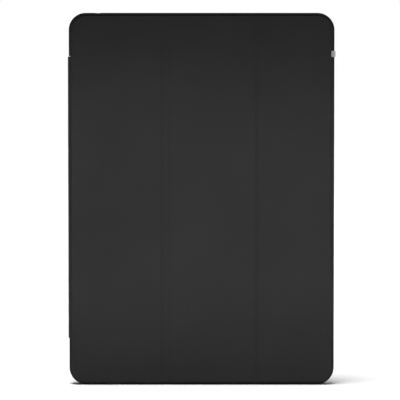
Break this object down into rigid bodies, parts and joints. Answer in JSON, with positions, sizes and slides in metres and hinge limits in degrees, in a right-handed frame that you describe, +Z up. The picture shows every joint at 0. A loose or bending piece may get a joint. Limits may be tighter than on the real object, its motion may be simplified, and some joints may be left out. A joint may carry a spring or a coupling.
{
  "type": "tablet case",
  "caption": "Tri-fold tablet case: a moulded tray with camera, key, port and speaker openings, and a hinged silicone-faced magnetic cover.",
  "frame": {"origin": "centre of the bounding box's bottom, on the surface that the case stands on upright", "axes": "+Z up the case's long side, +X to the right of someone facing the shut cover, and the cover faces -Y"},
  "size_m": [0.176, 0.0138, 0.2453],
  "materials": {
    "silicone_skin": "matte",
    "tray_moulding": "satin",
    "microfibre": "brushed",
    "board": "matte",
    "magnet_plating": "polished",
    "spring_steel": "brushed",
    "collar_gloss": "polished",
    "woven_tape": "woven"
  },
  "bodies": {
    "shell": {"back_shell": "tray_moulding", "shell_lining": "microfibre", "camera_collar": "collar_gloss", "spine_anchor": "silicone_skin"},
    "spine": {"spine_skin": "silicone_skin", "spine_stiffener": "board", "spine_lining": "microfibre"},
    "panel_1": {"panel_1_skin": "silicone_skin", "panel_1_board": "board", "panel_1_lining": "microfibre", "keeper_strip": "spring_steel"},
    "panel_2": {"panel_2_skin": "silicone_skin", "panel_2_board": "board", "panel_2_lining": "microfibre"},
    "panel_3": {"panel_3_skin": "silicone_skin", "panel_3_board": "board", "panel_3_lining": "microfibre", "closure_magnet_1": "magnet_plating", "closure_magnet_2": "magnet_plating", "closure_magnet_3": "magnet_plating", "closure_magnet_4": "magnet_plating", "closure_magnet_5": "magnet_plating", "wake_magnet": "magnet_plating", "pull_tag": "woven_tape"},
    "power_button": {"power_button_cover": "tray_moulding"},
    "volume_up_button": {"volume_up_cover": "tray_moulding"},
    "volume_down_button": {"volume_down_cover": "tray_moulding"}
  },
  "joints": [
    {"name": "spine_hinge", "type": "hinge", "parent": "shell", "child": "spine", "pos_m": [-0.088, 0.00655, 0.12375], "axis": [0, 0, -1], "range_deg": [0, 180]},
    {"name": "cover_hinge", "type": "hinge", "parent": "spine", "child": "panel_1", "pos_m": [-0.088, -0.00685, 0.12375], "axis": [0, 0, -1], "range_deg": [0, 180]},
    {"name": "fold_1", "type": "hinge", "parent": "panel_1", "child": "panel_2", "pos_m": [-0.0235, -0.00657, 0.12265], "axis": [0, 0, 1], "range_deg": [-136, 0]},
    {"name": "fold_2", "type": "hinge", "parent": "panel_2", "child": "panel_3", "pos_m": [0.0389, -0.00657, 0.12265], "axis": [0, 0, 1], "range_deg": [-108, 0]},
    {"name": "power_button_press", "type": "slide", "parent": "shell", "child": "power_button", "axis": [0, 0, -1], "range_m": [0, 0.0005], "stiffness_N_per_m": 1500},
    {"name": "volume_up_press", "type": "slide", "parent": "shell", "child": "volume_up_button", "axis": [-1, 0, 0], "range_m": [0, 0.0005], "stiffness_N_per_m": 1500},
    {"name": "volume_down_press", "type": "slide", "parent": "shell", "child": "volume_down_button", "axis": [-1, 0, 0], "range_m": [0, 0.0005], "stiffness_N_per_m": 1500}
  ]
}
